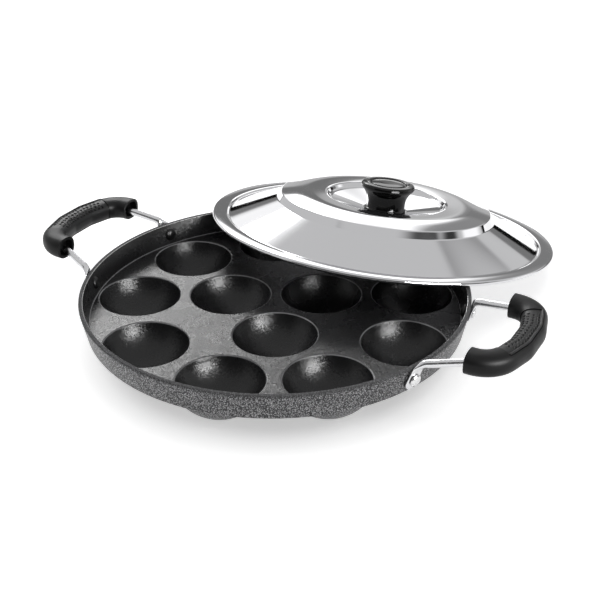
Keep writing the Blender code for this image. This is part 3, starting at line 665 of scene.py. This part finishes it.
outer_seat = TAB_THICKNESS + 2 * HAIR
inner = head(INNER_HEAD, -SHEET, -1)
outer = head(OUTER_HEAD, outer_seat, 1)
shank = [(RIVET_SHANK, -SHEET, 0), (RIVET_SHANK, outer_seat, 0)]
rivet = spun("rivet", inner[::-1] + shank + outer, RIVET_STEPS)
rivet.data.materials.append(rivet_bare)
rivet.data.materials.append(coating)
for face in rivet.data.polygons:
    face.material_index = 1 if face.center.z < -SHEET * 0.9 else 0
softened(rivet, 50)
HANDLES = (
    # side, turn about Z, and how far the grip's middle stands out from the rim
    ("right", 0.0, 0.0385),
    ("left", math.pi, 0.0348),
)
for hand, turn, reach in HANDLES:
    for end, side in (("back", 1), ("front", -1)):
        piece = copied(rivet, f"{hand}_handle_rivet_{end}", rivet_frame(side, turn))
        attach(piece, "pan")
        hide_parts(f"{hand}_rivet_{end}")
bpy.data.objects.remove(rivet)

# Handle rods
# Each handle is one bent steel rod, 4.5 mm thick and bright plated. Its two ends are hammered
# flat, slant down the wall and are riveted to it.

ROD_RADIUS = 0.00225
TAB_HALF_WIDTH = 0.0042
TAB_BELOW = 0.0063
TAB_ABOVE = 0.0054
TAB_SPLAY = 0.0022
TAB_TIP_SHARE = 0.04
TAB_REACH = 0.02
FLAT_TO_ROUND = 0.0050
ROD_STEP = 0.0012
ROD_BEND_RADIUS = 0.1182
ROD_BEND_HALF_GAP = 0.0379
ROD_BEND_HEIGHT = WALL_HEIGHT + 0.0019
ROD_TURNS = (0.0035, 0.0050, 0.0080, 0.0125, 0.0125)
GRIP_HEIGHT = WALL_HEIGHT + 0.0082
ROD_HEIGHT = GRIP_HEIGHT - 0.0015
ROD_INSET = 0.0021
ROD_MOUTH_GAP = 0.0004
GRIP_LEG = 0.0196
GRIP_HALF_GAP = 0.0327
GRIP_BOW = 0.0063
GRIP_BOW_HALF_LENGTH = 0.0092
ROD_COLOUR = "d4d4d6"
ROD_SCUFFS_PER_METRE = 320.0

# Bright plating shines like a mirror where it is clean, and scuffs about 3 mm wide dull it.
plated, tree, shader = new_finish("Steel rod, bright plated")
place = add_node(tree, "TexCoord").outputs["Object"]
scuff = add_node(tree, "TexNoise", {"Vector": place, "Scale": ROD_SCUFFS_PER_METRE, "Detail": 4.0})
dull = add_node(
    tree,
    "MapRange",
    {"Value": scuff.outputs[0], "From Min": 0.35, "From Max": 0.7, "To Min": 0.14, "To Max": 0.30},
)
tree.links.new(dull.outputs[0], shader.inputs["Roughness"])
shader.inputs["Base Color"].default_value = colour(ROD_COLOUR)
shader.inputs["Metallic"].default_value = 1.0


def swept(name, line, section=None, thickness=0.0):
    """A bar along a line: round when it has a thickness, else with the closed section given."""
    piece = drawn(name, line)
    bpy.ops.object.mode_set(mode="OBJECT")
    bpy.ops.object.convert(target="CURVE")
    piece.data.dimensions = "3D"
    piece.data.twist_mode = "Z_UP"
    piece.data.use_fill_caps = True
    if section:
        section = [Vector((-point.x, point.y, 0)) for point in section]
        outline = drawn(name + "_section", section + section[:1])
        bpy.ops.mesh.select_all(action="SELECT")
        bpy.ops.mesh.remove_doubles(threshold=SAME_POINT / 10)
        bpy.ops.object.mode_set(mode="OBJECT")
        bpy.ops.object.convert(target="CURVE")
        piece.data.bevel_mode = "OBJECT"
        piece.data.bevel_object = outline
    else:
        piece.data.bevel_depth = thickness
        piece.data.bevel_resolution = 8
    picked(piece)
    bpy.ops.object.convert(target="MESH")
    if section:
        bpy.data.objects.remove(outline)
    bpy.ops.object.mode_set(mode="EDIT")
    bpy.ops.mesh.select_all(action="SELECT")
    bpy.ops.mesh.remove_doubles(threshold=SAME_POINT / 10)
    bpy.ops.mesh.normals_make_consistent(inside=False)
    bpy.ops.object.mode_set(mode="OBJECT")
    return piece


def spaced(line, gap):
    """The same line with extra points, so that none of its stretches is longer than the gap."""
    points = [line[0]]
    for before, after in zip(line, line[1:]):
        parts = max(1, math.ceil((after - before).length / gap))
        points += [before.lerp(after, index / parts) for index in range(1, parts + 1)]
    return points


def tab_ends(side):
    """The foot and the top of a flattened end's middle line."""
    splay = side * TAB_SPLAY
    lift = HAIR + TAB_THICKNESS / 2
    foot = rivet_frame(side) @ Vector((splay, -TAB_BELOW, lift))
    top = rivet_frame(side) @ Vector((-splay * TAB_ABOVE / TAB_BELOW, TAB_ABOVE, lift))
    return foot, top


def rod_line(reach):
    """The rod's centre line, from one flattened end through the grip to the other."""
    foot, top = tab_ends(1)
    out = math.sqrt(ROD_BEND_RADIUS**2 - ROD_BEND_HALF_GAP**2)
    bend = Vector((out, ROD_BEND_HALF_GAP, ROD_BEND_HEIGHT))
    far = RIM_RADIUS + reach
    mouth = Vector((far - GRIP_LEG - ROD_MOUTH_GAP, GRIP_HALF_GAP, ROD_HEIGHT))
    corner = Vector((far - GRIP_BOW - ROD_INSET, GRIP_HALF_GAP, ROD_HEIGHT))
    bow = Vector((far - ROD_INSET, GRIP_BOW_HALF_LENGTH, ROD_HEIGHT))
    places = (foot, top, bend, mouth, corner, bow)
    half = [(*place, turn) for place, turn in zip(places, (0,) + ROD_TURNS)]
    other = [(x, -y, z, bend) for x, y, z, bend in reversed(half)]
    return spaced(rounded(half + other, 9), ROD_STEP)


def flatten_ends(rod):
    """Hammers both ends flat against the wall and rounds them off, as seen from outside."""
    for side in (1, -1):
        foot, top = tab_ends(side)
        along = (top - foot).normalized()
        normal = rivet_frame(side).to_3x3() @ Vector((0, 0, 1))
        across = along.cross(normal)
        length = (top - foot).length
        for point in rod.data.vertices:
            offset = point.co - foot
            far = offset.dot(along)
            if far > length + FLAT_TO_ROUND or side * point.co.y < 0 or offset.length > TAB_REACH:
                continue
            share = min(max((far - length) / FLAT_TO_ROUND, 0), 1)
            share = share * share * (3 - 2 * share)
            wide = TAB_HALF_WIDTH / ROD_RADIUS * (1 - share) + share
            thin = TAB_THICKNESS / 2 / ROD_RADIUS * (1 - share) + share
            if far < TAB_HALF_WIDTH:
                wide *= math.sqrt(max(1 - (1 - far / TAB_HALF_WIDTH) ** 2, TAB_TIP_SHARE))
            across_now = offset.dot(across)
            out_now = offset.dot(normal)
            point.co += across * across_now * (wide - 1) + normal * out_now * (thin - 1)


for hand, turn, reach in HANDLES:
    rod = swept(f"{hand}_handle_rod", rod_line(reach), thickness=ROD_RADIUS)
    flatten_ends(rod)
    rod.data.transform(Matrix.Rotation(turn, 4, "Z"))
    rod.data.materials.append(plated)
    softened(rod, 50)
    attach(rod, "pan")
    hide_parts(f"{hand}_handle_wire")

# Grips
# Each grip is a bowed bar of black phenolic, moulded as an upper and a lower half that close over
# the rod. Their mouths are open, so the rod is seen going in.

GRIP_HALF_WIDTH = 0.0075
GRIP_HALF_HEIGHT = 0.0064
GRIP_TURN = 0.0143
GRIP_POWER = 2.5
MOUTH_WALL = 0.0017
MOUTH_DEPTH = 0.0050
PARTING = 0.00006
GRIP_POINTS = 48
GRIP_COLOUR = "0d0d0e"
GRIP_GRAIN_PER_METRE = 1400.0
GRIP_WEAR_PER_METRE = 90.0

# Moulded phenolic is satin black, with a grain of about 0.7 mm and wear in patches of 1 cm.
bakelite, tree, shader = new_finish("Phenolic grip, moulded satin")
place = add_node(tree, "TexCoord").outputs["Object"]
skin = add_node(tree, "TexNoise", {"Vector": place, "Scale": GRIP_GRAIN_PER_METRE, "Detail": 3.0})
wear = add_node(tree, "TexNoise", {"Vector": place, "Scale": GRIP_WEAR_PER_METRE, "Detail": 3.0})
dull = add_node(
    tree,
    "MapRange",
    {"Value": wear.outputs[0], "From Min": 0.3, "From Max": 0.7, "To Min": 0.40, "To Max": 0.50},
)
relief = add_node(tree, "Bump", {"Height": skin.outputs[0], "Strength": 0.18, "Distance": 0.0002})
tree.links.new(dull.outputs[0], shader.inputs["Roughness"])
tree.links.new(relief.outputs[0], shader.inputs["Normal"])
shader.inputs["Base Color"].default_value = colour(GRIP_COLOUR)
shader.inputs["Specular IOR Level"].default_value = 0.2


def grip_skin(angle, out=0.0):
    """A point of the grip's section, a rounded box, moved out along its skin's normal.

    x points away from the pan and y up.
    """
    across, up = math.cos(angle), math.sin(angle)
    u = GRIP_HALF_WIDTH * math.copysign(abs(across) ** (2 / GRIP_POWER), across)
    v = GRIP_HALF_HEIGHT * math.copysign(abs(up) ** (2 / GRIP_POWER), up)
    power = GRIP_POWER - 1
    normal = Vector(
        (
            math.copysign(abs(u / GRIP_HALF_WIDTH) ** power, u) / GRIP_HALF_WIDTH,
            math.copysign(abs(v / GRIP_HALF_HEIGHT) ** power, v) / GRIP_HALF_HEIGHT,
            0,
        )
    ).normalized()
    return Vector((u, v, 0)) + normal * out


def grip_line(reach):
    """The grip's centre line, from mouth to mouth."""
    far = RIM_RADIUS + reach
    half = [
        (far - GRIP_LEG, GRIP_HALF_GAP, GRIP_HEIGHT, 0),
        (far - GRIP_BOW, GRIP_HALF_GAP, GRIP_HEIGHT, GRIP_TURN),
        (far, GRIP_BOW_HALF_LENGTH, GRIP_HEIGHT, GRIP_TURN),
    ]
    other = [(x, -y, z, bend) for x, y, z, bend in reversed(half)]
    return rounded(half + other, 4)


def open_mouths(grip, reach):
    """Insets each end by the wall's thickness and pushes the middle in."""
    mouth = RIM_RADIUS + reach - GRIP_LEG
    for side in (1, -1):
        unpicked("FACE")
        for face in grip.data.polygons:
            at_mouth = abs(face.center.x - mouth) < 10 * SAME_POINT and face.normal.x < -0.9
            face.select = at_mouth and side * face.center.y > 0
        bpy.ops.object.mode_set(mode="EDIT")
        bpy.ops.mesh.inset(thickness=MOUTH_WALL, depth=0)
        bpy.ops.mesh.extrude_region_move(TRANSFORM_OT_translate={"value": (MOUTH_DEPTH, 0, 0)})
        bpy.ops.mesh.select_all(action="DESELECT")
        bpy.ops.object.mode_set(mode="OBJECT")


def cut_away(piece, side):
    """Keeps the half above (1) or below (-1) the parting plane and closes the cut."""
    picked(piece)
    bpy.ops.object.mode_set(mode="EDIT")
    bpy.ops.mesh.select_all(action="SELECT")
    bpy.ops.mesh.bisect(
        plane_co=(0, 0, GRIP_HEIGHT + side * PARTING / 2),
        plane_no=(0, 0, side),
        clear_inner=True,
        use_fill=True,
        threshold=SAME_POINT / 10,
    )
    bpy.ops.object.mode_set(mode="OBJECT")


def subtracted(piece, cutter):
    """Cuts one solid out of another."""
    picked(piece)
    step = piece.modifiers.new("Cut", "BOOLEAN")
    step.operation = "DIFFERENCE"
    step.solver = "EXACT"
    step.object = cutter
    bpy.ops.object.modifier_apply(modifier=step.name)


# The pad is a soft black moulding let into the grip. It lies like a saddle over the side that
# faces the pan and over the top, with rows of round dimples and a raised ridge along the far edge.
PAD_START = 0.0190
PAD_FROM = math.radians(52)
PAD_TO = math.radians(228)
PAD_SUNK = 0.0005
PAD_RIDGE = 0.0009
PAD_RIDGE_AT = 60
PAD_RIDGE_HALF_WIDTH = 8
PAD_DEEP = 0.0018
PAD_SEAM = 0.00025
DIMPLE_RADIUS = 0.00090
DIMPLE_DEPTH = 0.0010
DIMPLE_PITCH = 0.0029
DIMPLE_ROWS = (76, 94, 113, 134)
PAD_COLOUR = "1c1c1d"
DIMPLE_SHADE_COLOUR = "030303"
PAD_GRAIN_PER_METRE = 1800.0
PAD_STEPS = 110
PAD_SEAT_STEPS = 24
PAD_CUT_PROUD = 0.002
PAD_STEP = 0.0002
PAD_PLAIN_ENDS = 0.008

# Soft rubber is matte and a shade greyer than the grip, with a grain of about 0.6 mm. No light
# gets out of the dimples, so shade is painted into them: they are coloured darker.
soft, tree, shader = new_finish("Soft rubber pad, moulded matte")
place = add_node(tree, "TexCoord").outputs["Object"]
skin = add_node(tree, "TexNoise", {"Vector": place, "Scale": PAD_GRAIN_PER_METRE, "Detail": 3.0})
relief = add_node(tree, "Bump", {"Height": skin.outputs[0], "Strength": 0.25, "Distance": 0.0002})
dust = add_node(
    tree,
    "MapRange",
    {"Value": skin.outputs[0], "From Min": 0.3, "From Max": 0.7, "To Min": 0.40, "To Max": 0.50},
)
depth = add_node(tree, "VertexColor", layer_name="dimples")
tint = add_node(
    tree,
    "Mix",
    {0: depth.outputs["Color"], 6: colour(PAD_COLOUR), 7: colour(DIMPLE_SHADE_COLOUR)},
    data_type="RGBA",
)
tree.links.new(tint.outputs[2], shader.inputs["Base Color"])
tree.links.new(relief.outputs[0], shader.inputs["Normal"])
tree.links.new(dust.outputs[0], shader.inputs["Roughness"])
shader.inputs["Specular IOR Level"].default_value = 0.25


def pad_section(grow):
    """The saddle's closed section: its outside from the far edge over the top, then its seat."""
    first, last = PAD_FROM - grow / GRIP_HALF_WIDTH, PAD_TO + grow / GRIP_HALF_WIDTH
    outside = []
    for index in range(PAD_STEPS + 1):
        angle = first + (last - first) * index / PAD_STEPS
        ridge = max(0, 1 - ((math.degrees(angle) - PAD_RIDGE_AT) / PAD_RIDGE_HALF_WIDTH) ** 2)
        outside.append(grip_skin(angle, PAD_CUT_PROUD if grow else PAD_RIDGE * ridge - PAD_SUNK))
    inside = []
    for index in range(PAD_SEAT_STEPS, -1, -1):
        angle = first + (last - first) * index / PAD_SEAT_STEPS
        inside.append(grip_skin(angle, -PAD_DEEP - grow))
    return outside + inside


def stretch(line, cut):
    """The middle of a line, without a length cut from each end."""
    for _ in range(2):
        left = cut
        while (line[1] - line[0]).length < left:
            left -= (line[1] - line[0]).length
            line = line[1:]
        line = [line[0].lerp(line[1], left / (line[1] - line[0]).length)] + line[1:]
        line = line[::-1]
    return line


grip_outline = [grip_skin(2 * math.pi * index / GRIP_POINTS) for index in range(GRIP_POINTS)]
for hand, turn, reach in HANDLES:
    line = grip_line(reach)
    grip = swept(f"{hand}_grip", spaced(line, ROD_STEP), grip_outline)
    open_mouths(grip, reach)
    middle = stretch(line, PAD_START)
    seat_line = spaced(stretch(line, PAD_START - PAD_SEAM), ROD_STEP)
    seat = swept("pad_seat", seat_line, pad_section(PAD_SEAM))
    subtracted(grip, seat)
    bpy.data.objects.remove(seat)
    pad = swept(f"{hand}_grip_saddle", spaced(middle, PAD_STEP), pad_section(0))

    # Dimples: each point of the pad's outside near a pin of the mould sinks along that pin.
    length = sum((after - before).length for before, after in zip(middle, middle[1:]))
    travelled = 0.0
    stations = []
    for before, after in zip(middle, middle[1:]):
        stations.append((travelled, before, (after - before).normalized(), (after - before).length))
        travelled += (after - before).length
    centres = []
    for row, degrees in enumerate(DIMPLE_ROWS):
        count = int((length - PAD_PLAIN_ENDS) / DIMPLE_PITCH)
        first = (length - (count - 1) * DIMPLE_PITCH) / 2 + (row % 2 - 0.5) * DIMPLE_PITCH / 2
        for index in range(count):
            far = first + index * DIMPLE_PITCH
            start, origin, along, _ = [s for s in stations if s[0] <= far][-1]
            spot = grip_skin(math.radians(degrees), -PAD_SUNK)
            pin = grip_skin(math.radians(degrees)) - spot
            outward = along.cross(Vector((0, 0, 1)))
            if outward.x < 0:
                outward = -outward
            at = origin + along * (far - start) + outward * spot.x + Vector((0, 0, spot.y))
            centres.append((at, (outward * pin.x + Vector((0, 0, pin.y))).normalized()))
    finder = KDTree(len(centres))
    for index, (centre, _) in enumerate(centres):
        finder.insert(centre, index)
    finder.balance()
    bpy.context.view_layer.objects.active = pad
    bpy.ops.geometry.color_attribute_add(name="dimples", domain="POINT", color=(0, 0, 0, 1))
    for point, painted in zip(pad.data.vertices, pad.data.color_attributes["dimples"].data):
        _, index, near = finder.find(point.co)
        if near < DIMPLE_RADIUS:
            share = 1 - (near / DIMPLE_RADIUS) ** 4
            point.co -= centres[index][1] * DIMPLE_DEPTH * share
            painted.color = (share, share, share, 1)

    lower = copied(grip, f"{hand}_grip_under", Matrix())
    for piece, side, node in ((grip, 1, "upper"), (lower, -1, "lower")):
        cut_away(piece, side)
        piece.data.materials.append(bakelite)
        piece.data.transform(Matrix.Rotation(turn, 4, "Z"))
        softened(piece, 35)
        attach(piece, "pan")
        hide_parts(f"{hand}_grip_{node}")
    pad.data.materials.append(soft)
    pad.data.transform(Matrix.Rotation(turn, 4, "Z"))
    softened(pad, 50)
    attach(pad, "pan")
    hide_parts(f"{hand}_grip_pad")

# Lid
# One sheet of stainless steel, 0.7 mm thick, spun over a form and mirror polished. Its edge is
# curled under, and a well in its dome holds the knob.

LID_SHEET = 0.0007
LID_RADIUS = 0.11499
LID_CENTRE = (0.010816, 0.123628, 0.003974)
LID_TOWARDS = math.radians(85)
LID_LEAN = math.radians(11.060028)
CURL = 0.0015
CURL_TURN = 255
CURL_POINTS = 14
LID_STEPS = 240
LID_PROFILE = (
    # radius, height and rounding, from the knob's hole out to the curl
    (0.0023, 0.0125, 0),
    (0.0150, 0.0125, 0.0060),
    (0.0369, 0.0170, 0.0040),
    (0.0384, 0.0181, 0.0006),
    (0.0397, 0.0200, 0.0008),
    (0.0412, 0.0204, 0.0030),
    (0.0560, 0.0211, 0.0600),
    (0.0703, 0.0186, 0.0012),
    (0.0729, 0.0138, 0.0016),
    (0.1027, 0.0008, 0.0008),
    (0.1040, 0.0003, 0.0008),
    (0.1052, 0.0013, 0.0006),
    (0.1062, 0.0015, 0.0008),
    (0.1135, 0.0015, 0),
)
LID_COLOUR = "d2d2d4"
SMEARS_PER_METRE = 35.0

leaning = Matrix.Rotation(LID_TOWARDS, 4, "Z") @ Matrix.Rotation(LID_LEAN, 4, "Y")
lid_place = Matrix.Translation(LID_CENTRE) @ leaning

# Mirror polish shows the studio's panels sharply, and faint smears about 3 cm wide blur them.
polished, tree, shader = new_finish("Stainless steel, mirror polished")
place = add_node(tree, "TexCoord").outputs["Object"]
smear = add_node(tree, "TexNoise", {"Vector": place, "Scale": SMEARS_PER_METRE, "Detail": 4.0})
dull = add_node(
    tree,
    "MapRange",
    {"Value": smear.outputs[0], "From Min": 0.35, "From Max": 0.7, "To Min": 0.035, "To Max": 0.075},
)
tree.links.new(dull.outputs[0], shader.inputs["Roughness"])
shader.inputs["Base Color"].default_value = colour(LID_COLOUR)
shader.inputs["Metallic"].default_value = 1.0


def solidified(piece, thickness):
    """Gives a skin a wall on its inner side."""
    picked(piece)
    step = piece.modifiers.new("Wall", "SOLIDIFY")
    step.thickness = thickness
    step.offset = -1
    bpy.ops.object.modifier_apply(modifier=step.name)


lid_points = list(LID_PROFILE)
for index in range(1, CURL_POINTS + 1):
    angle = math.radians(90 - CURL_TURN * index / CURL_POINTS)
    lid_points.append((LID_RADIUS - CURL + CURL * math.cos(angle), CURL * math.sin(angle), 0))
lid = spun("lid_cover", lid_points, LID_STEPS, turn=4)
if sum(face.normal.z for face in lid.data.polygons) < 0:
    lid.data.flip_normals()
solidified(lid, LID_SHEET)
lid.data.transform(lid_place)
lid.data.materials.append(polished)
softened(lid, 60)
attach(lid, "lid")
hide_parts("lid_shell")

# Knob
# A phenolic moulding, polished glossy black: a rounded ring round a slightly domed disc, on a
# neck that stands in the lid's well. A screw from below holds it.

KNOB_BASE = 0.0128
KNOB_TOP = KNOB_BASE + 0.0180
INSERT_HOLE_RADIUS = 0.0038
INSERT_HOLE_TOP = KNOB_BASE + 0.0093
KNOB_PROFILE = (
    # radius, height and rounding, from the blind hole for the insert out and up to the disc
    (0, INSERT_HOLE_TOP, 0),
    (INSERT_HOLE_RADIUS, INSERT_HOLE_TOP, 0),
    (INSERT_HOLE_RADIUS, KNOB_BASE, 0),
    (0.0138, KNOB_BASE, 0.0002),
    (0.0138, KNOB_BASE + 0.0006, 0.0003),
    (0.0131, KNOB_BASE + 0.0011, 0.0006),
    (0.0129, KNOB_TOP - 0.0135, 0.0200),
    (0.0132, KNOB_TOP - 0.0107, 0.0100),
    (0.0141, KNOB_TOP - 0.0081, 0.0060),
    (0.0154, KNOB_TOP - 0.0060, 0.0060),
    (0.0171, KNOB_TOP - 0.0041, 0.0030),
    (0.0180, KNOB_TOP - 0.0027, 0.0007),
    (0.0180, KNOB_TOP - 0.0014, 0.0007),
    (0.0171, KNOB_TOP - 0.0004, 0.0010),
    (0.0145, KNOB_TOP - 0.0001, 0.0016),
    (0.0128, KNOB_TOP - 0.0005, 0.0008),
    (0.0121, KNOB_TOP - 0.0014, 0.0003),
    (0.0116, KNOB_TOP - 0.0014, 0.0003),
    (0.0109, KNOB_TOP - 0.0005, 0.0008),
    (0.0058, KNOB_TOP, 0.0300),
    (0, KNOB_TOP, 0),
)
KNOB_STEPS = 96
KNOB_COLOUR = "080808"
HAZE_PER_METRE = 160.0

# Polished phenolic has a hard gloss under a thin haze, in patches of about 6 mm.
glossy, tree, shader = new_finish("Phenolic knob, polished")
place = add_node(tree, "TexCoord").outputs["Object"]
haze = add_node(tree, "TexNoise", {"Vector": place, "Scale": HAZE_PER_METRE, "Detail": 3.0})
dull = add_node(
    tree,
    "MapRange",
    {"Value": haze.outputs[0], "From Min": 0.35, "From Max": 0.7, "To Min": 0.05, "To Max": 0.12},
)
tree.links.new(dull.outputs[0], shader.inputs["Roughness"])
shader.inputs["Base Color"].default_value = colour(KNOB_COLOUR)
shader.inputs["Specular IOR Level"].default_value = 0.3

knob = spun("lid_handle_knob", KNOB_PROFILE, KNOB_STEPS, turn=8)
knob.data.transform(lid_place)
knob.data.materials.append(glossy)
softened(knob, 50)
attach(knob, "lid")
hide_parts("lid_knob")

# Knob's fixing and the grips' screws
# A brass insert moulded into the knob takes a steel screw that comes up through a washer under
# the lid. Two small steel screws under each pad close the grip's halves.

BRASS_COLOUR = "c9a357"
BRASS_MARKS_PER_METRE = 800.0
SCREW_COLOUR = "b4b4b6"
ZINC_GRAIN_PER_METRE = 600.0

# Turned brass is yellow and half dull, with marks about 1 mm wide.
brass, tree, shader = new_finish("Brass insert, turned")
place = add_node(tree, "TexCoord").outputs["Object"]
marks = add_node(tree, "TexNoise", {"Vector": place, "Scale": BRASS_MARKS_PER_METRE, "Detail": 2.0})
dull = add_node(tree, "MapRange", {"Value": marks.outputs[0], "To Min": 0.28, "To Max": 0.45})
tree.links.new(dull.outputs[0], shader.inputs["Roughness"])
shader.inputs["Base Color"].default_value = colour(BRASS_COLOUR)
shader.inputs["Metallic"].default_value = 1.0

# Zinc plated steel is grey and half dull, with a grain of about 1.5 mm.
steel, tree, shader = new_finish("Steel screws, zinc plated")
place = add_node(tree, "TexCoord").outputs["Object"]
marks = add_node(tree, "TexNoise", {"Vector": place, "Scale": ZINC_GRAIN_PER_METRE, "Detail": 3.0})
dull = add_node(tree, "MapRange", {"Value": marks.outputs[0], "To Min": 0.25, "To Max": 0.42})
tree.links.new(dull.outputs[0], shader.inputs["Roughness"])
shader.inputs["Base Color"].default_value = colour(SCREW_COLOUR)
shader.inputs["Metallic"].default_value = 1.0

for name, finish in (("knob_insert", brass), ("knob_washer", steel), ("knob_screw", steel)):
    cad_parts[name].data.materials.clear()
    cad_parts[name].data.materials.append(finish)
for hand, _, _ in HANDLES:
    for end in ("back", "front"):
        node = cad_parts[f"{hand}_grip_screw_{end}"]
        node.data.materials.clear()
        node.data.materials.append(steel)

# View
# The picture keeps its plain view transform.

bpy.context.scene.view_settings.view_transform = "Standard"
bpy.context.view_layer.update()
